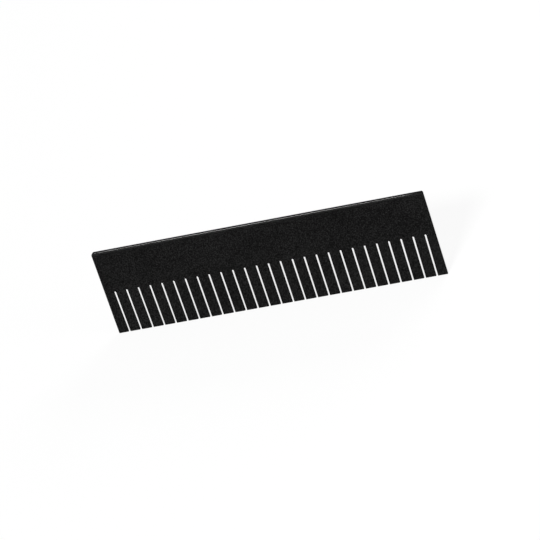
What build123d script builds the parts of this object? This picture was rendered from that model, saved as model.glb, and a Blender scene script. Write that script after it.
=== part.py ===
from build123d import *
import math
import os

# Slotted divider panel with a round bead pressed over its top edge. All sizes are in millimetres.
# X runs along the panel, the front face looks towards -Y, and Z = 0 is the plane of the tooth tips.

# Panel
overall_height = 159.2
panel_thickness = 2.5
end_margin = 17.15          # from the centre of an outer slot to the panel's end, at the tooth tips
end_lean = 0.76             # degrees that each end leans in towards the top
left_corner = 4.5           # radius of the upper left corner, which shows past the bead
right_corner = 1.0          # radius of the upper right corner
tip_corner = 0.8            # radius of the corners at the tooth tips, the lead-in for a crossing panel

# Slots, each one half of the half-lap joint with a crossing panel
slot_count = 27
slot_pitch = 19.05
crossing_clearance = 0.3    # slot width over the thickness of the crossing panel
half_lap_clearance = 0.4    # slot depth past half of the overall height

# Bead
bead_diameter = 5.2
bead_crown = 1.5            # plastic between the panel's top edge and the top of the bead
bead_left_gap = 2.6         # from the panel's left end to the tip of the bead's dome
bead_right_gap = 1.1        # from the panel's right end to the bead's square end

# Worked out from the sizes above
panel_top = overall_height - bead_crown
slot_width = panel_thickness + crossing_clearance
slot_depth = overall_height / 2 + half_lap_clearance
slot_shoulder = slot_depth - slot_width / 2
tip_half_length = slot_pitch * (slot_count - 1) / 2 + end_margin
top_half_length = tip_half_length - panel_top * math.tan(math.radians(end_lean))
bead_radius = bead_diameter / 2
bead_centre = overall_height - bead_radius


def slotted_panel():
    """The flat plate: a blank with leaning ends, cut from below by a row of round-topped slots.

    It is one moulding, parted where the slots' sides end, so that each tooth is a convex solid
    and what collides with the panel can enter a slot.
    """
    corners = [
        (-tip_half_length, 0),
        (tip_half_length, 0),
        (top_half_length, panel_top),
        (-top_half_length, panel_top),
    ]
    with BuildPart() as panel:
        with BuildSketch(Plane.XZ) as front:
            with BuildLine():
                Polyline(*corners, close=True)
            make_face()
            upper_corners = front.vertices().group_by(Axis.Y)[-1].sort_by(Axis.X)
            fillet(upper_corners[0], left_corner)
            fillet(front.vertices().sort_by(Axis.X).group_by(Axis.Y)[-1][-1], right_corner)
            with GridLocations(slot_pitch, 0, slot_count, 1):
                SlotOverall(2 * slot_depth, slot_width, rotation=90, mode=Mode.SUBTRACT)
            fillet(front.vertices().group_by(Axis.Y)[0], tip_corner)
        extrude(amount=panel_thickness / 2, both=True)
        split(bisect_by=Plane.XY.offset(slot_shoulder), keep=Keep.BOTH)
    return panel.part


def top_edge_bead():
    """The round strip, domed at its left end, with a groove that takes the panel's top edge."""
    dome_centre = bead_left_gap + bead_radius - top_half_length
    square_end = top_half_length - bead_right_gap
    with BuildPart() as bead:
        with Locations((dome_centre, 0, bead_centre)):
            Sphere(bead_radius)
            Cylinder(
                bead_radius,
                square_end - dome_centre,
                rotation=(0, 90, 0),
                align=(Align.CENTER, Align.CENTER, Align.MIN),
            )
        groove_size = (2 * tip_half_length, panel_thickness, panel_top)
        Box(*groove_size, align=(Align.CENTER, Align.CENTER, Align.MIN), mode=Mode.SUBTRACT)
    return bead.part


os.makedirs("parts", exist_ok=True)
for node in (slotted_panel, top_edge_bead):
    export_step(node(), f"parts/{node.__name__}.step")
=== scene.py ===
import bpy
import bmesh
import math
from mathutils import Matrix, Vector


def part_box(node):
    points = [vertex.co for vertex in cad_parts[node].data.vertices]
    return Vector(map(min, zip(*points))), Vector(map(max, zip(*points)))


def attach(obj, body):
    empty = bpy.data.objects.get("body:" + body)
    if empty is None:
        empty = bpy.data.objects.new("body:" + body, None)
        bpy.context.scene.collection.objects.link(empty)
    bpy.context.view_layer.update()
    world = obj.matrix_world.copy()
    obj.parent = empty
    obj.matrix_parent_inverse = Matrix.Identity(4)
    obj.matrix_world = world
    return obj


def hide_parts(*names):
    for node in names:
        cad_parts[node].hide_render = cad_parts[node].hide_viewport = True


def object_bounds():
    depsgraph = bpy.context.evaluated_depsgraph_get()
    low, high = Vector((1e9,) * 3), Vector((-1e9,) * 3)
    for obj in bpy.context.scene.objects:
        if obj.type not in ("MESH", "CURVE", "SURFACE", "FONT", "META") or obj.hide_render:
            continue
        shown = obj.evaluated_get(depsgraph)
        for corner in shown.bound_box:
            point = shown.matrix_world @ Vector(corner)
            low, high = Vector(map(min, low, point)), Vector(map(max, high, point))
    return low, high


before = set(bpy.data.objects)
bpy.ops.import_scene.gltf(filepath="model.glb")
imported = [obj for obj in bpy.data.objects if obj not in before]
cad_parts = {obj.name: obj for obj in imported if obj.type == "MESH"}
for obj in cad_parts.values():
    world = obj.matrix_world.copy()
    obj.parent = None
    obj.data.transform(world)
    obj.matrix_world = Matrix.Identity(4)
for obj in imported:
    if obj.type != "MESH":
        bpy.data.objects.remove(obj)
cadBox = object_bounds()
mm = 0.001
print("frame loaded:", sorted(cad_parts))

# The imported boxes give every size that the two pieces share.
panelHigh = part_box("slotted_panel")[1]
beadLow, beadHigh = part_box("top_edge_bead")
panelTop = panelHigh.z
halfPanel = panelHigh.y                 # half of the panel's thickness
beadRadius = beadHigh.y
beadCentre = beadHigh.z - beadRadius
middle = (cadBox[0] + cadBox[1]) / 2

cameraView = {
    "aim": (-0.0009, 0.0, 0.0665),      # the point that the camera looks at
    "azimuth": 14.47,                   # degrees to the right of the front
    "elevation": 34.2,
    "roll": -18.64,
    "distance": 4.4162,
    "lens": 191.29,                     # millimetres, as the sensor is
    "sensor": 36,
    "clipStart": 0.1,
    "clipEnd": 60,
}


def makeCamera(view):
    azimuth = math.radians(view["azimuth"])
    elevation = math.radians(view["elevation"])
    roll = math.radians(view["roll"])
    back = Vector((
        math.sin(azimuth) * math.cos(elevation),
        -math.cos(azimuth) * math.cos(elevation),
        math.sin(elevation),
    ))
    level = Vector((math.cos(azimuth), math.sin(azimuth), 0.0))
    right = level * math.cos(roll) + back.cross(level) * math.sin(roll)
    up = back.cross(right)
    data = bpy.data.cameras.new("productCamera")
    data.lens = view["lens"]
    data.sensor_width = view["sensor"]
    data.clip_start = view["clipStart"]
    data.clip_end = view["clipEnd"]
    camera = bpy.data.objects.new("productCamera", data)
    turn = Matrix((right, up, back)).transposed().to_4x4()
    camera.matrix_world = Matrix.Translation(Vector(view["aim"]) + back * view["distance"]) @ turn
    bpy.context.collection.objects.link(camera)
    bpy.context.scene.camera = camera


makeCamera(cameraView)
print("camera ready")


def clearTree(owner):
    owner.use_nodes = True
    owner.node_tree.nodes.clear()
    return owner.node_tree


def addNode(tree, kind, inputs=None, **settings):
    node = tree.nodes.new(kind)
    for name, value in settings.items():
        setattr(node, name, value)
    for key, value in (inputs or {}).items():
        if isinstance(value, bpy.types.NodeSocket):
            tree.links.new(value, node.inputs[key])
        else:
            node.inputs[key].default_value = value
    return node


def calc(tree, operation, *values):
    node = addNode(tree, "ShaderNodeMath", dict(enumerate(values)), operation=operation)
    return node.outputs[0]


def pick(tree, condition, yes, no):
    choices = {"Switch": condition, "True": yes, "False": no}
    return addNode(tree, "GeometryNodeSwitch", choices, input_type="FLOAT").outputs[0]


def weighedSum(tree, layers, shares):
    total = 0.0
    for layer, share in zip(layers, shares):
        total = calc(tree, "MULTIPLY_ADD", layer, share, total)
    return total


def between(tree, fac, low, high):
    return calc(tree, "MULTIPLY_ADD", fac, high - low, low)


def ramp(tree, fac, stops):
    node = addNode(tree, "ShaderNodeValToRGB", {"Fac": fac})
    for element, (position, level) in zip(node.color_ramp.elements, stops):
        element.position = position
        element.color = (level, level, level, 1)
    return node.outputs["Color"]


def mixColour(tree, fac, first, second):
    # Factor, first and second colour go by number, because the node's socket names repeat.
    node = addNode(tree, "ShaderNodeMix", {0: fac, 6: first, 7: second}, data_type="RGBA")
    return node.outputs[2]


def noise(tree, vector, scale, detail, roughness):
    settings = {"Vector": vector, "Scale": scale, "Detail": detail, "Roughness": roughness}
    return addNode(tree, "ShaderNodeTexNoise", settings).outputs["Fac"]


def inMillimetres(tree, coordinates, scale=(1, 1, 1)):
    settings = {"Vector": coordinates, "Scale": [share / mm for share in scale]}
    return addNode(tree, "ShaderNodeMapping", settings).outputs["Vector"]


# Matte face of the panel: sooty black with a fine grain, a little polished on its rims.
# Each noise has its scale per millimetre, its detail and its roughness.
panelPlastic = {
    "base": (0.0003, 0.0003, 0.0003, 1),
    "light": (0.0185, 0.0185, 0.0185, 1),
    "rimColour": (0.0122, 0.0122, 0.0122, 1),
    "specular": 0.035,
    "grain": (0.6, 6.0, 0.66),
    "stipple": (2.4, 3.0, 0.6),         # finer than the grain
    "cloud": (0.012, 2.0, 0.5),
    "toneShares": (0.75, 0.19, 0.06),   # of grain, stipple and clouds
    "toneRange": ((0.47, 0.0), (0.61, 1.0)),
    "heightShares": (0.4, 0.6),         # of stipple and grain
    "rubRange": ((0.35, 0.25), (0.65, 1.0)),
    "roughness": (0.45, 0.7),
    "rimPolish": -0.15,
    "bumpDepth": 0.12,                  # millimetres
    "bumpStrength": 0.6,
}

# Glossier strip over the top edge, with faint drag marks along its length.
beadPlastic = {
    "base": (0.0015, 0.0015, 0.0015, 1),
    "light": (0.0033, 0.0033, 0.0033, 1),
    "specular": 0.15,
    "dragStretch": (0.02, 1.6, 1.6),    # marks per millimetre along the strip and across it
    "drag": (1.0, 3.0, 0.6),
    "speck": (0.9, 2.0, 0.5),
    "toneShares": (0.5, 0.5),           # of drag marks and specks
    "toneRange": ((0.38, 0.0), (0.62, 1.0)),
    "roughness": (0.11, 0.25),
    "bumpDepth": 0.004,
    "bumpStrength": 0.5,
}


def startMaterial(name):
    material = bpy.data.materials.new(name)
    tree = clearTree(material)
    coordinates = addNode(tree, "ShaderNodeTexCoord").outputs["Object"]
    return material, tree, coordinates


def finishPlastic(tree, look, colour, roughness, height):
    bump = addNode(tree, "ShaderNodeBump", {
        "Height": height,
        "Distance": look["bumpDepth"] * mm,
        "Strength": look["bumpStrength"],
    })
    shader = addNode(tree, "ShaderNodeBsdfPrincipled", {
        "Base Color": colour,
        "Roughness": roughness,
        "Specular IOR Level": look["specular"],
        "Normal": bump.outputs["Normal"],
    })
    addNode(tree, "ShaderNodeOutputMaterial", {"Surface": shader.outputs["BSDF"]})


def makePanelPlastic(look):
    material, tree, coordinates = startMaterial("panelPlastic")
    place = inMillimetres(tree, coordinates)
    grain = noise(tree, place, *look["grain"])
    stipple = noise(tree, place, *look["stipple"])
    cloud = noise(tree, place, *look["cloud"])
    tone = weighedSum(tree, (grain, stipple, cloud), look["toneShares"])
    colour = mixColour(tree, ramp(tree, tone, look["toneRange"]), look["base"], look["light"])
    rim = addNode(tree, "ShaderNodeAttribute", attribute_name="rimWear").outputs["Fac"]
    rubbed = calc(tree, "MULTIPLY", rim, ramp(tree, stipple, look["rubRange"]))
    colour = mixColour(tree, rubbed, colour, look["rimColour"])
    height = weighedSum(tree, (stipple, grain), look["heightShares"])
    roughness = between(tree, stipple, *look["roughness"])
    roughness = calc(tree, "MULTIPLY_ADD", rubbed, look["rimPolish"], roughness)
    finishPlastic(tree, look, colour, roughness, height)
    return material


def makeBeadPlastic(look):
    material, tree, coordinates = startMaterial("beadPlastic")
    place = inMillimetres(tree, coordinates)
    along = inMillimetres(tree, coordinates, look["dragStretch"])
    drag = noise(tree, along, *look["drag"])
    speck = noise(tree, place, *look["speck"])
    tone = weighedSum(tree, (drag, speck), look["toneShares"])
    colour = mixColour(tree, ramp(tree, tone, look["toneRange"]), look["base"], look["light"])
    finishPlastic(tree, look, colour, between(tree, tone, *look["roughness"]), tone)
    return material


panelMaterial = makePanelPlastic(panelPlastic)
beadMaterial = makeBeadPlastic(beadPlastic)
print("materials ready")

# Sizes in millimetres. The height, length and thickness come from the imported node.
panelSizes = {
    "Slot Count": 27,
    "Slot Pitch": 19.05,
    "Slot Width": 2.8,                  # at the closed end
    "Mouth Width": 2.55,                # at the tooth tips
    "Slot Depth": 80.0,
    "Tip Corner": 0.8,
    "Left Corner": 4.5,
    "Right Corner": 1.0,
    "End Lean": 0.76,                   # degrees
    "Corner Steps": 6,
    "Round Share": 0.999,               # of half the slot's width, at its closed end
    "Weld Reach": 0.001,
}

# Softening of every moulded edge.
softRims = {
    "radius": 0.16,                     # millimetres
    "segments": 3,
    "sharpFrom": 40,                    # degrees between two faces
    "tolerance": 0.01,                  # millimetres
}


def slottedPanelTree():
    tree = bpy.data.node_groups.new("slottedPanel", "GeometryNodeTree")
    tree.interface.new_socket(name="Geometry", in_out="OUTPUT", socket_type="NodeSocketGeometry")
    for name in ("Slot Count", "Corner Steps"):
        tree.interface.new_socket(name=name, in_out="INPUT", socket_type="NodeSocketInt")
    lengths = (
        "Slot Pitch", "Slot Width", "Mouth Width", "Slot Depth", "Tip Corner", "Left Corner", "Right Corner",
        "End Lean", "Round Share", "Weld Reach", "Half Length", "Top Height", "Thickness",
    )
    for name in lengths:
        tree.interface.new_socket(name=name, in_out="INPUT", socket_type="NodeSocketFloat")
    tree.interface.new_socket(name="Material", in_out="INPUT", socket_type="NodeSocketMaterial")
    sizes = addNode(tree, "NodeGroupInput").outputs

    # Four outline points for each slot, then four for the panel's own corners.
    # In each four, 0 and 1 lie on one side, 2 and 3 on the other, and 1 and 2 are the upper ones.
    slotPoints = calc(tree, "MULTIPLY", sizes["Slot Count"], 4)
    pointCount = calc(tree, "ADD", slotPoints, 4)
    index = addNode(tree, "GeometryNodeInputIndex").outputs[0]
    slotNumber = calc(tree, "FLOOR", calc(tree, "DIVIDE", index, 4))
    turn = calc(tree, "MODULO", index, 4)
    onSlot = calc(tree, "LESS_THAN", index, slotPoints)
    isFirstHalf = calc(tree, "LESS_THAN", turn, 1.5)
    fromMiddle = calc(tree, "ABSOLUTE", calc(tree, "SUBTRACT", turn, 1.5))
    isUpper = calc(tree, "LESS_THAN", fromMiddle, 1.0)

    middleSlot = calc(tree, "DIVIDE", calc(tree, "SUBTRACT", sizes["Slot Count"], 1), 2)
    slotX = calc(tree, "MULTIPLY", calc(tree, "SUBTRACT", slotNumber, middleSlot), sizes["Slot Pitch"])
    halfSlot = calc(tree, "DIVIDE", sizes["Slot Width"], 2)
    halfMouth = calc(tree, "DIVIDE", sizes["Mouth Width"], 2)
    halfGap = pick(tree, isUpper, halfSlot, halfMouth)
    toSide = calc(tree, "MULTIPLY", halfGap, pick(tree, isFirstHalf, -1.0, 1.0))
    slotSide = calc(tree, "ADD", slotX, toSide)
    lean = calc(tree, "TANGENT", calc(tree, "RADIANS", sizes["End Lean"]))
    leanRun = calc(tree, "MULTIPLY", sizes["Top Height"], lean)
    topHalf = calc(tree, "SUBTRACT", sizes["Half Length"], leanRun)
    endHalf = pick(tree, isUpper, topHalf, sizes["Half Length"])
    endSide = calc(tree, "MULTIPLY", endHalf, pick(tree, isFirstHalf, 1.0, -1.0))
    across = pick(tree, onSlot, slotSide, endSide)
    upperHeight = pick(tree, onSlot, sizes["Slot Depth"], sizes["Top Height"])
    height = pick(tree, isUpper, upperHeight, 0.0)
    topCorner = pick(tree, isFirstHalf, sizes["Right Corner"], sizes["Left Corner"])
    slotCorner = calc(tree, "MULTIPLY", halfSlot, sizes["Round Share"])
    upperRadius = pick(tree, onSlot, slotCorner, topCorner)
    radius = pick(tree, isUpper, upperRadius, sizes["Tip Corner"])

    line = addNode(tree, "GeometryNodeCurvePrimitiveLine").outputs["Curve"]
    points = addNode(tree, "GeometryNodeResampleCurve", {
        "Curve": line,
        "Count": pointCount,
    }).outputs["Curve"]
    place = addNode(tree, "ShaderNodeCombineXYZ", {"X": across, "Y": height}).outputs["Vector"]
    placed = addNode(tree, "GeometryNodeSetPosition", {
        "Geometry": points,
        "Position": place,
    }).outputs["Geometry"]
    outline = addNode(tree, "GeometryNodeSetSplineCyclic", {
        "Geometry": placed,
        "Cyclic": True,
    }).outputs["Geometry"]
    rounded = addNode(tree, "GeometryNodeFilletCurve", {
        "Curve": outline,
        "Count": sizes["Corner Steps"],
        "Radius": radius,
        "Limit Radius": True,
    }, mode="POLY").outputs["Curve"]
    face = addNode(tree, "GeometryNodeFillCurve", {"Curve": rounded}, mode="NGONS").outputs["Mesh"]

    # The flat face gains its thickness, is centred, and is stood up with the front towards -Y.
    deep = addNode(tree, "GeometryNodeExtrudeMesh", {
        "Mesh": face,
        "Offset Scale": sizes["Thickness"],
        "Individual": False,
    }, mode="FACES").outputs["Mesh"]
    turned = addNode(tree, "GeometryNodeFlipFaces", {"Mesh": face}).outputs["Mesh"]
    both = addNode(tree, "GeometryNodeJoinGeometry")
    for part in (deep, turned):
        tree.links.new(part, both.inputs[0])
    closed = addNode(tree, "GeometryNodeMergeByDistance", {
        "Geometry": both.outputs[0],
        "Distance": sizes["Weld Reach"],
    }).outputs["Geometry"]
    halfDown = calc(tree, "DIVIDE", sizes["Thickness"], -2)
    drop = addNode(tree, "ShaderNodeCombineXYZ", {"Z": halfDown}).outputs["Vector"]
    centred = addNode(tree, "GeometryNodeTransform", {
        "Geometry": closed,
        "Translation": drop,
    }).outputs["Geometry"]
    upright = addNode(tree, "GeometryNodeTransform", {
        "Geometry": centred,
        "Rotation": (math.pi / 2, 0, 0),
        "Scale": (mm, mm, mm),
    }).outputs["Geometry"]
    real = addNode(tree, "GeometryNodeRealizeInstances", {"Geometry": upright}).outputs["Geometry"]
    painted = addNode(tree, "GeometryNodeSetMaterial", {
        "Geometry": real,
        "Material": sizes["Material"],
    }).outputs["Geometry"]
    addNode(tree, "NodeGroupOutput", {"Geometry": painted})
    return tree


def plainMesh(source, name):
    graph = bpy.context.evaluated_depsgraph_get()
    mesh = bpy.data.meshes.new_from_object(source.evaluated_get(graph), depsgraph=graph)
    mesh.name = name
    bpy.data.objects.remove(source)
    piece = bpy.data.objects.new(name, mesh)
    bpy.context.collection.objects.link(piece)
    return piece


def makePanel(sizes, rims):
    tree = slottedPanelTree()
    blank = bpy.data.objects.new("panelBlank", bpy.data.meshes.new("panelBlank"))
    bpy.context.collection.objects.link(blank)
    modifier = blank.modifiers.new("slottedPanel", "NODES")
    modifier.node_group = tree
    values = dict(sizes)
    values["Half Length"] = panelHigh.x / mm
    values["Top Height"] = panelTop / mm
    values["Thickness"] = 2 * halfPanel / mm
    values["Material"] = panelMaterial
    for socket in tree.interface.items_tree:
        if socket.in_out == "INPUT":
            modifier[socket.identifier] = values[socket.name]
    rim = blank.modifiers.new("softRims", "BEVEL")
    rim.width = rims["radius"] * mm
    rim.segments = rims["segments"]
    rim.limit_method = "ANGLE"
    rim.angle_limit = math.radians(rims["sharpFrom"])
    rim.use_clamp_overlap = False
    rim.harden_normals = True
    return plainMesh(blank, "slottedPanelMoulding")


def markRims(piece, faceLevel, rims):
    # Points between the face and the panel's straight edge lie on a softened rim.
    wear = piece.data.attributes.new("rimWear", "FLOAT", "POINT")
    tolerance = rims["tolerance"] * mm
    rimDepth = rims["radius"] * mm
    for vertex in piece.data.vertices:
        level = abs(vertex.co.y)
        if faceLevel - rimDepth + tolerance < level < faceLevel - tolerance:
            wear.data[vertex.index].value = 1.0


panelPiece = makePanel(panelSizes, softRims)
markRims(panelPiece, halfPanel, softRims)
print("panel made:", len(panelPiece.data.vertices), "points", len(panelPiece.data.polygons), "faces")

beadShape = {
    "ringSteps": 48,
    "noseSteps": 10,
    "endSteps": 4,
    "endRounding": 0.35,                # millimetres, on the square end
    "stationGap": 26.0,                 # millimetres between rings on the straight run
    "leastReach": 0.0001,               # millimetres, under which a point lies on the panel
    "weldReach": 0.002,                 # millimetres
    "smoothUnder": 35,                  # degrees between two faces
}


def footOnPanel(y, z):
    if abs(y) >= halfPanel:
        return (math.copysign(halfPanel, y), min(z, panelTop))
    return (y, panelTop)


def beadRing(cover, inset, shape):
    # Outer points run from the front lip over the top to the back lip, each with its foot on the panel.
    lipAngle = math.pi - math.asin(halfPanel / beadRadius)
    outer = []
    inner = []
    for step in range(shape["ringSteps"] + 1):
        angle = lipAngle * (2 * step / shape["ringSteps"] - 1)
        y = beadRadius * math.sin(angle)
        z = beadCentre + beadRadius * math.cos(angle)
        footY, footZ = footOnPanel(y, z)
        reach = math.hypot(y - footY, z - footZ)
        share = 0.0
        if reach > shape["leastReach"] * mm:
            share = cover * max(0.0, 1 - inset / reach)
        outer.append((footY + (y - footY) * share, footZ + (z - footZ) * share))
        inner.append((footY, footZ))
    return outer, inner


def beadStations(shape):
    # Each station has its place along X, how much of the ring it covers, and how far the ring is drawn in.
    noseEnd = beadLow.x + beadRadius
    stations = []
    for step in range(shape["noseSteps"]):
        angle = math.pi / 2 * step / shape["noseSteps"]
        stations.append((noseEnd - beadRadius * math.cos(angle), math.sin(angle), 0.0))
    rounding = shape["endRounding"] * mm
    straightEnd = beadHigh.x - rounding
    runs = round((straightEnd - noseEnd) / (shape["stationGap"] * mm))
    for run in range(runs + 1):
        stations.append((noseEnd + (straightEnd - noseEnd) * run / runs, 1.0, 0.0))
    for step in range(1, shape["endSteps"] + 1):
        angle = math.pi / 2 * step / shape["endSteps"]
        stations.append((straightEnd + rounding * math.sin(angle), 1.0, rounding * (1 - math.cos(angle))))
    return stations


def makeBead(shape):
    build = bmesh.new()
    rings = []
    for x, cover, inset in beadStations(shape):
        outer, inner = beadRing(cover, inset, shape)
        loop = [build.verts.new((x, y, z)) for y, z in outer]
        loop += [build.verts.new((x, y, z)) for y, z in reversed(inner)]
        rings.append(loop)
    count = len(rings[0])
    for here, after in zip(rings, rings[1:]):
        for side in range(count):
            build.faces.new((here[side], here[(side + 1) % count], after[(side + 1) % count], after[side]))
    half = count // 2
    for ring in (rings[0], rings[-1]):
        for side in range(half - 1):
            build.faces.new((ring[side], ring[side + 1], ring[count - 2 - side], ring[count - 1 - side]))
    weldReach = shape["weldReach"] * mm
    bmesh.ops.remove_doubles(build, verts=build.verts, dist=weldReach)
    bmesh.ops.dissolve_degenerate(build, edges=build.edges, dist=weldReach)
    bmesh.ops.recalc_face_normals(build, faces=build.faces)
    for edge in build.edges:
        edge.smooth = edge.calc_face_angle(0.0) < math.radians(shape["smoothUnder"])
    for face in build.faces:
        face.smooth = True
    mesh = bpy.data.meshes.new("topEdgeBead")
    build.to_mesh(mesh)
    build.free()
    mesh.materials.append(beadMaterial)
    piece = bpy.data.objects.new("topEdgeBead", mesh)
    bpy.context.collection.objects.link(piece)
    return piece


beadPiece = makeBead(beadShape)
print("bead made:", len(beadPiece.data.vertices), "points", len(beadPiece.data.polygons), "faces")

studio = {
    "floorRadius": 24.0,                # metres
    "floorSides": 96,
    "floorGap": 0.0001,                 # metres below the tooth tips
    "floorColour": (0.88, 0.88, 0.88, 1),
    "white": (1, 1, 1, 1),
    "shownWhite": 0.88,                 # share of plain white in what is seen of the floor
    "worldLevels": ((0.045, 0.9), (0.1, 0.32)),     # rise above the horizon and level there
}

# Directions are from the object, sizes in metres. A level of 1 fully lights white that faces the lamp.
lamps = {
    "keyLight": {
        "shape": "RECTANGLE",
        "towards": (-0.207, -0.762, 0.613),
        "distance": 14.0,
        "width": 2.6,
        "height": 1.9,
        "level": 0.95,
    },
    "backFill": {
        "shape": "DISK",
        "towards": (0.45, 0.8, 0.55),
        "distance": 3.5,
        "width": 1.8,
        "height": 1.8,
        "level": 0.4,
    },
    "sideFill": {
        "shape": "DISK",
        "towards": (0.9, -0.3, 0.45),
        "distance": 3.5,
        "width": 1.6,
        "height": 1.6,
        "level": 0.2,
    },
}


def makeFloor(look):
    build = bmesh.new()
    bmesh.ops.create_circle(build, cap_ends=True, segments=look["floorSides"], radius=look["floorRadius"])
    bmesh.ops.translate(build, verts=build.verts, vec=(0, 0, cadBox[0].z - look["floorGap"]))
    mesh = bpy.data.meshes.new("studioFloor")
    build.to_mesh(mesh)
    build.free()
    material = bpy.data.materials.new("studioFloor")
    tree = clearTree(material)
    path = addNode(tree, "ShaderNodeLightPath").outputs
    seen = calc(tree, "MAXIMUM", path["Is Camera Ray"], path["Is Glossy Ray"])
    seen = calc(tree, "MAXIMUM", seen, path["Is Transmission Ray"])
    matte = addNode(tree, "ShaderNodeBsdfDiffuse", {"Color": look["floorColour"]})
    white = addNode(tree, "ShaderNodeEmission", {"Color": look["white"], "Strength": 1.0})
    blend = addNode(tree, "ShaderNodeMixShader", {
        "Fac": calc(tree, "MULTIPLY", seen, look["shownWhite"]),
        1: matte.outputs["BSDF"],
        2: white.outputs["Emission"],
    })
    addNode(tree, "ShaderNodeOutputMaterial", {"Surface": blend.outputs["Shader"]})
    mesh.materials.append(material)
    floor = bpy.data.objects.new("studioFloor", mesh)
    bpy.context.collection.objects.link(floor)


def makeWorld(look):
    # White round the horizon, dimmer overhead, so that black plastic stays black.
    world = bpy.data.worlds.new("studioWorld")
    tree = clearTree(world)
    direction = addNode(tree, "ShaderNodeTexCoord").outputs["Generated"]
    rise = addNode(tree, "ShaderNodeSeparateXYZ", {"Vector": direction}).outputs["Z"]
    level = ramp(tree, rise, look["worldLevels"])
    background = addNode(tree, "ShaderNodeBackground", {"Color": level, "Strength": 1.0})
    addNode(tree, "ShaderNodeOutputWorld", {"Surface": background.outputs["Background"]})
    bpy.context.scene.world = world


def makeLamp(name, look):
    data = bpy.data.lights.new(name, "AREA")
    data.shape = look["shape"]
    data.size = look["width"]
    data.size_y = look["height"]
    data.energy = look["level"] * (math.pi * look["distance"]) ** 2
    lamp = bpy.data.objects.new(name, data)
    direction = Vector(look["towards"]).normalized()
    lamp.location = middle + direction * look["distance"]
    lamp.rotation_euler = direction.to_track_quat("Z", "Y").to_euler()
    bpy.context.collection.objects.link(lamp)


makeFloor(studio)
makeWorld(studio)
for lampName, lampLook in lamps.items():
    makeLamp(lampName, lampLook)
bpy.context.scene.view_settings.view_transform = "Standard"
print("studio ready")

for piece, node, slotName in (
    (panelPiece, "slotted_panel", "panel_plastic"),
    (beadPiece, "top_edge_bead", "bead_plastic"),
):
    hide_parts(node)
    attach(piece, "root")
